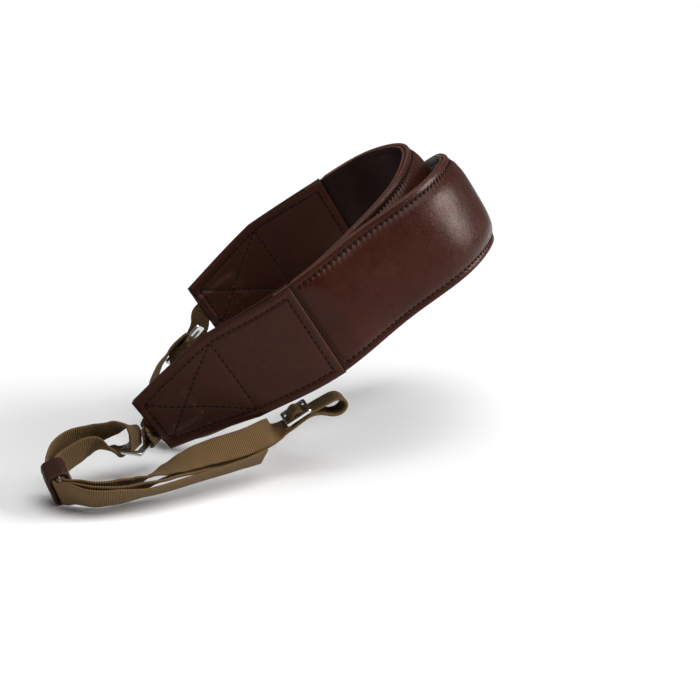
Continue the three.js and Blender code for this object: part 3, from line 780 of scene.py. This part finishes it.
def build_pad():
    """The padded leather, its lining and the stitches on both faces."""
    dense = 0.4
    start = TAB_LENGTH - TONGUE
    stops = np.arange(start, band.length - start + dense / 2, dense)
    inner = 20
    loops = slab_loops(stops, pad_half, pad_top, pad_bottom, inner, 0.6, SEAM_STEPS, 2)
    # Its rims take the lighter edge leather, partly a painted highlight.
    rim = rim_of(loops, 2 * len(SEAM_STEPS) + inner)
    pad = sweep("shoulder_pad_leather", band_frame, stops, loops, PAD_LEATHER, RAW_EDGE_AND_GLINT, rim)
    dress(pad, "pad_leather", "shoulder_pad")

    step = 1.2
    coarse = np.arange(start, band.length - start + step / 2, step)
    inner = 26
    loops = slab_loops(coarse, pad_half, lining_top, lining_bottom, inner, 0.45)
    # Its rims take the lighter edge leather, partly a painted highlight.
    rim = rim_of(loops, 2 * len(EDGE_STEPS) + inner)
    lining = sweep("pad_lining_leather", band_frame, coarse, loops, LINING, RAW_EDGE_AND_GLINT, rim)
    dress(lining, "lining_leather", "pad_lining")

    half = PAD_WIDTH / 2
    lines = pad_seam_lines()

    def on_pad(s, a):
        return float(pad_top(s, a, half)) + 0.05

    def on_lining(s, a):
        return float(lining_bottom(s, a, half))

    outside = line_stitches(band_frame, lines, on_pad, slant=STITCH_SLANT / 2, length=PAD_STITCH)
    dress(stitch_mesh("pad_stitches", outside, DARK_THREAD, PAD_THREAD), "pad_leather")
    inside = line_stitches(band_frame, lines, on_lining, side=-1)
    dress(stitch_mesh("lining_stitches", inside, DARK_THREAD), "lining_leather")


# Tabs
def panel_inside(s, a, tongue):
    """Inner side of a tab's panel above the middle surface."""
    d = from_end(s)
    rest = GAP / 2
    over_tongue = ramp(TAB_LENGTH - TONGUE - 30, TAB_LENGTH - TONGUE - 1, d)
    past_mouth = ramp(MOUTH_LENGTH + 1, MOUTH_LENGTH + 6, d)
    beside_mouth = ramp(MOUTH_HALF, MOUTH_HALF + 3, np.abs(a))
    over_mouth = (1 - past_mouth) * (1 - beside_mouth)
    return rest + (tongue + GAP - rest) * over_tongue + (MOUTH_LIFT - rest) * over_mouth


def tab_seams():
    """Stitch lines of a tab, in distances from its end and across it."""
    end = TAB_SEAM
    waist = TAB_TAPER + 1
    root = TAB_LENGTH - TAB_SEAM
    end_a = TAB_END_WIDTH / 2 - TAB_SEAM
    waist_a = TAB_WAIST / 2 - TAB_SEAM
    root_a = PAD_WIDTH / 2 - TAB_SEAM
    lines = []
    for side in (-1, 1):
        lines.append(((end, side * end_a), (waist, side * waist_a)))
        lines.append(((waist, side * waist_a), (root, side * root_a)))
        lines.append(((waist, side * waist_a), (end, -side * end_a)))
    lines.append(((end, -end_a), (end, end_a)))
    lines.append(((waist, -waist_a), (waist, waist_a)))
    lines.append(((root, -root_a), (root, root_a)))
    return lines


def seam_distance(d, a):
    """Distance of points of a tab from its nearest stitch line."""
    nearest = np.full(np.broadcast(d, a).shape, 99.0)
    for (d0, a0), (d1, a1) in tab_seams():
        run = (d1 - d0) ** 2 + (a1 - a0) ** 2
        t = np.clip(((d - d0) * (d1 - d0) + (a - a0) * (a1 - a0)) / run, 0, 1)
        nearest = np.minimum(nearest, np.hypot(d - mix(d0, d1, t), a - mix(a0, a1, t)))
    return nearest


def tab_relief(s, a, half):
    """Height of a tab's face above its plain panel: rolled rim, sewn grooves, soft fields."""
    d = from_end(s)
    edge = np.minimum(half - np.abs(a), np.minimum(d, TAB_LENGTH - d))
    seam = seam_distance(d, a)
    rim = TAB_RIM[0] * bump(edge - TAB_RIM[1], TAB_RIM[2])
    depth = TAB_GROOVE[0] + ROOT_GROOVE * ramp(TAB_TAPER, TAB_TAPER + 6, d)
    groove = depth * bump(seam, TAB_GROOVE[1])
    field = TAB_FIELD * ramp(TAB_GROOVE[1], 5, seam) * ramp(TAB_SEAM, TAB_SEAM + 2, edge)
    return rim + field - groove + TAB_RIPPLE * ripple(s, a) * ramp(3, 8, edge)


def end_fall(s, radius):
    """How far a tab's face falls towards its rounded ends."""
    d = from_end(s)
    return round_off(np.minimum(d, TAB_LENGTH - d), radius)


def tab_faces(side):
    """Outer and inner face of a tab's front (1) or back (-1) panel."""
    tongue = TONGUE_TOP if side > 0 else -TONGUE_BOTTOM
    radius = PANEL / 2

    def outer(s, a, half):
        return panel_inside(s, a, tongue) + PANEL + tab_relief(s, a, half) - end_fall(s, radius)

    def inner(s, a, half):
        return panel_inside(s, a, tongue) + end_fall(s, radius)

    if side > 0:
        return outer, inner
    return (lambda s, a, half: -inner(s, a, half)), (lambda s, a, half: -outer(s, a, half))


def build_tab(prefix, far):
    """Both panels of a tab and the stitches on their outer faces."""
    step = 0.42
    inside = np.arange(EDGE_STEPS[-1] + 0.4, TAB_LENGTH - 1.4, step)
    d = np.concatenate([EDGE_STEPS, inside, TAB_LENGTH - EDGE_STEPS[::-1]])
    columns = 84
    stops = band.length - d[::-1] if far else d
    place = (lambda v: band.length - v) if far else (lambda v: v)
    lines = [((place(d0), a0), (place(d1), a1)) for (d0, a0), (d1, a1) in tab_seams()]
    for name, side in (("front", 1), ("back", -1)):
        top, bottom = tab_faces(side)
        loops = slab_loops(stops, tab_half, top, bottom, columns, PANEL / 2)
        panel = sweep(f"{prefix}_tab_{name}_leather", band_frame, stops, loops, TAB_LEATHER)
        dress(panel, "tab_leather", f"{prefix}_tab_{name}")
        face = top if side > 0 else bottom

        def on_face(s, a):
            s = np.array([s])
            return float(face(s, np.array([a]), tab_half(s))[0])

        stitches = line_stitches(band_frame, lines, on_face, side)
        dress(stitch_mesh(f"{prefix}_tab_{name}_stitches", stitches, DARK_THREAD), "tab_leather")


# Webbing, its places as in the part's source. A row is x, y, z, and the direction of the
# width: its tilt above the level, and its turn from -Y towards +X, in degrees
NEAR = {
    "ring": {
        "at": (-101.5, -18.9, -69.5), "along": (0.22, 0.97, 0.1), "across": (0.96, -0.22, -0.05),
    },
    "anchor": {"slide": 3.2, "from": (-0.4, -0.1, 0.9), "via": []},
    "keeper": {
        "at": (-126.3, -47.2, -74.6), "along": (-0.42, 0.88, 0.25), "across": (-0.2, -0.35, 0.91),
    },
    "slider": {
        "at": (-42.9, -17.6, -58.2), "along": (0.83, 0.2, 0.52), "across": (0.1, -0.98, -0.1),
    },
    "free": [
        (-54.4, -26.7, -72.3, 40, 0), (-62.2, -32.9, -73.4, 32, 0), (-77.7, -44.6, -74.7, 30, 0),
        (-93, -54.7, -76, 30, 0), (-104.8, -60, -76, 48, 0), (-112.5, -61, -75.8, 56, 0),
        (-119.5, -58, -75.4, 62, -10),
    ],
    "loop_out": [
        (-131, -34, -69.4, 76, -10), (-127, -28, -66.4, 74, 0), (-119.5, -23.6, -65, 64, 0),
        (-111.5, -21.6, -63, 46, 0), (-106.6, -21.3, -62.1, 24, -6), (-103.9, -21.7, -63.5, 8, -12),
        (-103.2, -21.9, -66.2, 0, -13),
    ],
    "wrap": {"slide": -3.2, "start": -25, "end": 88},
    "loop_back": [
        (-109, -22.3, -71.8, -4, -12), (-113.4, -24.8, -70.2, 26, -4), (-118.6, -28, -68.1, 56, 0),
        (-123, -32.5, -69.2, 68, -6),
    ],
    "run": [
        (-117.6, -53.4, -75.4, 62, -10), (-111, -54.4, -75.5, 57, 0), (-104.8, -52.6, -75, 48, 0),
        (-98.4, -50, -73.7, 32, 0), (-92.9, -48.4, -72, 14, 0), (-87.7, -46.4, -70.4, -6, 0),
        (-81.4, -43.4, -68.6, -25, 0), (-76.3, -40.5, -67.3, -37, 0), (-67.9, -36.1, -66, -53, 0),
        (-58.9, -30.6, -64.6, -64, 0), (-53, -25.2, -63.3, -46, 0),
    ],
    "back": [
        (-54.5, -21.8, -66.4, -36, 0), (-61, -28, -68.4, -48, 0), (-68.8, -35.2, -70.8, -24, 0),
        (-77.5, -41, -72, 0, 0), (-87, -47.9, -73.3, 12, 0), (-98.5, -53.9, -75.3, 35, 0),
        (-111, -57.9, -75.7, 56, 0), (-117.8, -56.4, -75.5, 62, -10),
    ],
}

FAR = {
    "ring": {
        "at": (-94.6, 54.2, -49.4), "along": (-0.66, -0.18, -0.73), "across": (0.15, 0.93, -0.36),
    },
    "anchor": {
        "slide": 0,
        "from": (0.15, 0.93, -0.36),
        "via": [(-88.6, 62.4, -40.5, 22, -75), (-90.6, 64, -46.5, -8, -76)],
    },
    "keeper": {"at": (-97, 15, -72), "along": (-0.6, 0.75, 0.3), "across": (0.25, -0.2, 0.95)},
    "slider": {"at": (-71, 22, -61.5), "along": (0.2, 0.85, 0.45), "across": (-0.2, -0.35, 0.9)},
    "free": [
        (-63, 5.5, -62.5, 74, 0), (-73, 3.8, -67, 76, 0), (-82, 3.6, -70.3, 80, 10),
        (-88.5, 6, -72.4, 80, 30),
    ],
    "loop_out": [
        (-102.4, 22.5, -69.2, 74, 45), (-105, 29.5, -64.5, 68, 60), (-104.8, 37.5, -57.8, 58, 80),
        (-101, 44.5, -51.4, 50, 100),
    ],
    "wrap": {"slide": 0, "start": -130, "end": 130},
    "loop_back": [
        (-96.2, 46, -54.6, 50, 100), (-98.8, 39, -59.6, 58, 80), (-99.8, 31, -65, 68, 60),
        (-98.8, 24, -69.4, 74, 45),
    ],
    "run": [(-86.8, 11.2, -71.6, 80, 30), (-80, 12.4, -68.5, 78, 0), (-74.6, 15, -65.6, 74, -20)],
    "back": [(-72.4, 12.4, -66.4, 74, -20), (-79.4, 9.4, -69.4, 78, 0), (-87, 8.7, -72, 80, 30)],
}
VIEW_SIDE = -1  # side of the sliders on which the webbing crosses the middle bar

# The turn of the webbing past the slider: along the slider, out of its plane
BIGHT = [(8, -2.1), (13, -2.5), (17, -3.8), (18, -6.6), (15.2, -8.6), (11, -7.3), (7.5, -4.2)]


class Seat:
    """A right-handed frame from a first direction and a rough second one."""

    def __init__(self, place):
        self.at = np.array(place["at"], float)
        self.first = unit(np.array(place["along"], float))
        second = np.array(place["across"], float)
        self.second = unit(second - self.first * (second @ self.first))
        self.third = np.cross(self.first, self.second)

    def point(self, a, b, c):
        return self.at + self.first * a + self.second * b + self.third * c


def station(row):
    """Point and width direction of a row of the tables above."""
    x, y, z, tilt, turn = row
    up = math.radians(tilt)
    bearing = math.radians(turn)
    level = math.cos(up)
    wide = np.array([level * math.sin(bearing), -level * math.cos(bearing), math.sin(up)])
    return np.array([x, y, z], float), wide


def square(value):
    return math.copysign(abs(value) ** RAIL_CORNER, value)


def round_rail(ring, rail, slide, start, end, wide, thick):
    """Stations of a strip that turns round a rail of the ring, between two angles in degrees
    from the rail's outer or inner side to the ring's underside."""
    side = (RING_RAIL + thick) / 2 + GAP
    face = (RING_THICK + thick) / 2 + GAP
    count = math.ceil(abs(end - start) / RAIL_STEP)
    stations = []
    for k in range(count + 1):
        angle = math.radians(mix(start, end, k / count))
        across = rail + side * square(math.cos(angle))
        stations.append((ring.point(slide, across, face * square(math.sin(angle))), wide))
    return stations


def weave_stations(slider):
    """The webbing through the slider, its turn past it and its way back over it."""
    over = (SLIDER_THICK + WEB_THICK) / 2 + GAP
    slot = (SLIDER_LENGTH - SLIDER_BAR) / 4
    bar = (SLIDER_LENGTH - SLIDER_BAR) / 2
    route = [
        (-bar - SLIDER_LEAD, -over), (-bar + END_FLAT, -over), (-slot, 0),
        (-BAR_FLAT, over), (BAR_FLAT, over), (slot, 0), (bar - END_FLAT, -over),
        *BIGHT, (bar, -over - PLY_PITCH), (-bar, -over - PLY_PITCH),
    ]
    return [(slider.point(a, 0, VIEW_SIDE * out), slider.second) for a, out in route]


def webbing_route(places):
    """Free end, keeper, loop through the ring, keeper, slider, bight, slider, keeper."""
    keeper, slider, ring = (Seat(places[k]) for k in ("keeper", "slider", "ring"))
    reach = KEEPER_LENGTH / 2 + KEEPER_RUN

    def straight(lengths, offset):
        return [(keeper.point(a, 0, offset), keeper.second) for a in lengths]

    wrap = places["wrap"]
    through = np.linspace(-reach, reach, 5)
    return [
        *map(station, places["free"]),
        *straight(through, -PLY_PITCH),
        *map(station, places["loop_out"]),
        *round_rail(ring, -RING_SPREAD / 2, **wrap, wide=-ring.first, thick=WEB_THICK),
        *map(station, places["loop_back"]),
        *straight(through[::-1], PLY_PITCH),
        *map(station, places["run"]),
        *weave_stations(slider),
        *map(station, places["back"]),
        *straight(np.linspace(-reach, 0, 3), 0),
    ]


def ring_loop_route(places, tab_end, inward):
    """Out of the tab, round the ring's rail on that side, and back beside itself."""
    ring = Seat(places["ring"])
    anchor = places["anchor"]
    rail = RING_SPREAD / 2
    middle = ring.point(anchor["slide"], rail, 0)
    way = np.array(anchor["from"], float)
    way = unit(way - ring.first * (way @ ring.first))
    depths = np.array([RING_LOOP_TAIL, RING_LOOP_TAIL / 2, 0, -RING_LOOP_EXIT])
    point, wide, _ = band_frame(tab_end + inward * depths)
    stations = [*zip(point, wide), *map(station, anchor["via"])]
    width = ring.first * np.sign(ring.first @ stations[-1][1])
    core, length = station_frame([*stations, (middle + way * RING_LOOP_REACH, width)])
    steps = np.linspace(0, length, 14)
    at, across, out = core(steps)
    pitch = RING_LOOP_THICK + GAP
    start = math.degrees(math.atan2(way @ ring.third, way @ ring.second))
    turn = float(np.sign(np.cross(way, out[-1]) @ ring.first))
    eye = round_rail(
        ring, rail, anchor["slide"], start + turn * EYE_MOUTH, start + turn * (360 - EYE_MOUTH),
        width, RING_LOOP_THICK,
    )
    there = [(p + o * pitch / 2, w) for p, w, o in zip(at, across, out)]
    back = [(p - o * pitch / 2, w) for p, w, o in zip(at, across, out)]
    return [*there, *eye, *back[::-1]]


WEB_EDGE = np.array([0, 0.1, 0.3, 0.6])


def build_strip(name, route, width, thick, node):
    """A ribbed webbing strip, its ribs raised on both faces."""
    at, length = station_frame(route)
    stops = np.linspace(0, length, int(length / (RIB_PITCH / RIB_ROWS)) + 1)

    def half(s):
        return np.full(len(s), width / 2)

    def height(s, a, edge):
        rib = np.abs(np.sin(math.pi * s / RIB_PITCH)) ** RIB_ROUND
        selvage = SELVAGE[0] * bump(edge - np.abs(a) - SELVAGE[1], SELVAGE[2])
        return thick / 2 - RIB_HEIGHT + RIB_HEIGHT * rib + selvage

    def depth(s, a, edge):
        return -height(s, a, edge)

    loops = slab_loops(stops, half, height, depth, 7, thick / 2 - 0.06, WEB_EDGE)
    dress(sweep(name, at, stops, loops, WEBBING), "webbing", node)


def round_rectangle(length, width, radius, count):
    """Points round a rectangle with round corners, evenly numbered on each quarter."""
    points = []
    for quarter, (sx, sy) in enumerate(((1, 1), (-1, 1), (-1, -1), (1, -1))):
        for k in range(count):
            angle = math.pi / 2 * (quarter + k / (count - 1))
            points.append((
                sx * (length / 2 - radius) + radius * math.cos(angle),
                sy * (width / 2 - radius) + radius * math.sin(angle),
            ))
    return np.array(points)


def keeper_profile():
    """Places along the keeper, each with its share from the outer to the inner face."""
    flat = KEEPER_LENGTH / 2 - KEEPER_LIP
    turn = np.linspace(0.4, 2.7, 7)
    profile = [(v, 0.0) for v in np.linspace(-flat, flat, 15)]
    profile += [(flat + KEEPER_LIP * math.sin(t), 0.5 - 0.5 * math.cos(t)) for t in turn]
    profile += [(v, 1.0) for v in np.linspace(flat, -flat, 8)]
    profile += [(-flat - KEEPER_LIP * math.sin(t), 0.5 + 0.5 * math.cos(t)) for t in turn]
    return profile


def closed_body(name, verts, look):
    """A body from a grid of points that closes on itself both ways."""
    n, m = verts.shape[:2]
    i = np.arange(n)[:, None]
    j = np.arange(m)[None, :]
    corners = [(i, j), (i, (j + 1) % m), ((i + 1) % n, (j + 1) % m), ((i + 1) % n, j)]
    faces = np.stack([np.broadcast_to(p * m + q, (n, m)) for p, q in corners], axis=2)
    spots = [[np.broadcast_to(v, (n, m)) for v in corner] for corner in corners]
    uvs = np.stack([np.stack(spot, axis=2) for spot in spots], axis=2)
    quads = faces.reshape(-1, 4).tolist()
    return shaped_object(name, verts.reshape(-1, 3), quads, uvs.reshape(-1, 2), look)


def build_keeper(prefix, place):
    """A leather sleeve with rounded lips, slightly fuller in its middle, and its stitches."""
    seat = Seat(place)
    room = (WEB_WIDTH + 2 * GAP, 2 * PLY_PITCH + WEB_THICK + 2 * GAP)
    size = tuple(r + 2 * w for r, w in zip(room, KEEPER_WALL))
    around = 12
    outer = round_rectangle(*size, KEEPER_ROUND[0], around)
    inner = round_rectangle(*room, KEEPER_ROUND[1], around)
    rows = []
    for along, share in keeper_profile():
        full = KEEPER_FULL * (1 - (along / (KEEPER_LENGTH / 2)) ** 2) * (1 - share)
        section = mix(outer * (1 + full / size[1]), inner, share)
        wave = KEEPER_WAVE * math.sin(along * 1.7) * (1 - share)
        rows.append([seat.point(along, x, y + wave) for x, y in section])
    sleeve = closed_body(f"{prefix}_keeper_leather", np.array(rows), KEEPER_LEATHER)
    dress(sleeve, "keeper_leather", f"{prefix}_keeper")

    places = []
    for face in (-1, 1):
        for k in (-1, 0, 1):
            along = 0.2 if k else -0.6
            height = size[1] / 2 + KEEPER_THREAD
            middle = seat.point(along, KEEPER_STITCH_PITCH * k, face * height)
            tilt = seat.first * KEEPER_STITCH[0] + seat.second * KEEPER_STITCH[1] * (1 if k else -1)
            places.append((middle - tilt, middle + tilt, face * seat.third))
    stitches = stitch_mesh(f"{prefix}_keeper_stitches", places, PALE_THREAD, KEEPER_THREAD)
    dress(stitches, "keeper_leather")


def build_plate(name, seat, outline, holes, thick, bevel, node):
    """A flat metal fitting with rounded edges, from its outline and its holes."""
    curve = bpy.data.curves.new(name, "CURVE")
    curve.dimensions = "2D"
    curve.fill_mode = "BOTH"
    curve.extrude = (thick / 2 - bevel) * MM
    curve.bevel_depth = bevel * MM
    curve.bevel_resolution = 4
    curve.offset = -bevel * MM
    for loop in (outline, *holes):
        line = curve.splines.new("POLY")
        line.points.add(len(loop) - 1)
        for point, (x, y) in zip(line.points, loop):
            point.co = (x * MM, y * MM, 0, 1)
        line.use_cyclic_u = True
    maker = new_object(name + "_outline", curve)
    bpy.context.view_layer.update()
    evaluated = maker.evaluated_get(bpy.context.evaluated_depsgraph_get())
    mesh = bpy.data.meshes.new_from_object(evaluated)
    bpy.data.objects.remove(maker)
    co = np.empty(len(mesh.vertices) * 3)
    mesh.vertices.foreach_get("co", co)
    co = co.reshape(-1, 3)
    basis = np.array([seat.first, seat.second, seat.third])
    mesh.vertices.foreach_set("co", (co @ basis + seat.at * MM).ravel())
    mesh.materials.clear()
    mesh.materials.append(METAL)
    mesh.name = name
    dress(smooth_piece(name, mesh, 35), "polished_metal", node)


def build_ring(prefix, place):
    outline = round_rectangle(RING_LENGTH, RING_SPREAD + RING_RAIL, RING_ROUND[0], 7)
    window = RING_LENGTH - 2 * RING_END
    hole = round_rectangle(window, RING_SPREAD - RING_RAIL, RING_ROUND[1], 5)
    name = f"{prefix}_ring"
    build_plate(name + "_metal", Seat(place), outline, [hole], RING_THICK, RING_BEVEL, name)


def build_slider(prefix, place):
    window = (SLIDER_LENGTH - 3 * SLIDER_BAR) / 2
    hole = round_rectangle(window, WEB_WIDTH + 2 * GAP, SLIDER_ROUND[1], 5)
    holes = [hole + (half * (window + SLIDER_BAR) / 2, 0) for half in (-1, 1)]
    outline = round_rectangle(SLIDER_LENGTH, SLIDER_WIDTH, SLIDER_ROUND[0], 7)
    name = f"{prefix}_slider"
    build_plate(name + "_metal", Seat(place), outline, holes, SLIDER_THICK, SLIDER_BEVEL, name)


def fit_end(prefix, places, tab_end, inward):
    """The webbing and the fittings of one end of the strap."""
    route = webbing_route(places)
    name = f"{prefix}_webbing"
    build_strip(name + "_strip", route, WEB_WIDTH, WEB_THICK, name)
    route = ring_loop_route(places, tab_end, inward)
    name = f"{prefix}_ring_loop"
    build_strip(name + "_strip", route, RING_LOOP_WIDTH, RING_LOOP_THICK, name)
    build_keeper(prefix, places["keeper"])
    build_ring(prefix, places["ring"])
    build_slider(prefix, places["slider"])


# Floor, light and view
def soft_sun(name, tilt, bearing, spread, strength):
    """A distant soft light: its tilt from straight down, and the bearing of the side that it
    comes from, turned from -Y towards +X."""
    data = bpy.data.lights.new(name, "SUN")
    data.angle = math.radians(spread)
    data.energy = strength
    lamp = new_object(name, data)
    lamp.rotation_euler = (math.radians(tilt), 0, math.radians(bearing))


def build_floor(floor_z):
    mesh = bpy.data.meshes.new("floor")
    reach = 40.0
    corners = [(-reach, -reach), (reach, -reach), (reach, reach), (-reach, reach)]
    mesh.from_pydata([(x, y, floor_z) for x, y in corners], [], [(0, 1, 2, 3)])
    look = Nodes("floor_paper")
    cloud = look.spread(look.noise(PAPER, 3), 0.0, 1.0)
    colour = look.blend(cloud, (0.95, 0.95, 0.95), (0.97, 0.97, 0.97))
    look.feed("Base Color", colour)
    look.set(Roughness=0.8, Specular_IOR_Level=0.15)
    mesh.materials.append(look.material)
    new_object("floor", mesh)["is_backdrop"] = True


def build_light():
    """A white studio: low light from all round, a wide ceiling light and a window."""
    world = bpy.data.worlds.new("studio")
    world.use_nodes = True
    tree = world.node_tree
    back = tree.nodes["Background"]
    back.inputs["Color"].default_value = (1, 1, 1, 1)
    seen = tree.nodes.new("ShaderNodeLightPath").outputs["Is Camera Ray"]
    strength = tree.nodes.new("ShaderNodeMapRange")
    strength.inputs["To Min"].default_value = WORLD_LIGHT
    strength.inputs["To Max"].default_value = WORLD_SEEN
    tree.links.new(seen, strength.inputs["Value"])
    tree.links.new(strength.outputs["Result"], back.inputs["Strength"])
    bpy.context.scene.world = world
    soft_sun("ceiling", tilt=18, bearing=60, spread=55, strength=2.1)
    soft_sun("window", tilt=66, bearing=92, spread=30, strength=2.7)
    bpy.context.scene.view_settings.view_transform = "Standard"


def build_camera():
    """The photograph's view, along +Y and slightly down."""
    data = bpy.data.cameras.new("camera")
    data.sensor_width = SENSOR
    data.lens = SENSOR * FOCAL / FRAME
    data.clip_start = 0.01
    camera = new_object("camera", data)
    camera.location = CAMERA_AT
    camera.rotation_euler = (math.radians(90 - CAMERA_DOWN), 0, 0)
    bpy.context.scene.camera = camera


build_camera()
build_pad()
build_tab("near", False)
build_tab("far", True)
fit_end("near", NEAR, 0, 1)
fit_end("far", FAR, band.length, -1)
build_floor(min(cad_box[0][2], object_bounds()[0][2]) - 0.2 * MM)
build_light()
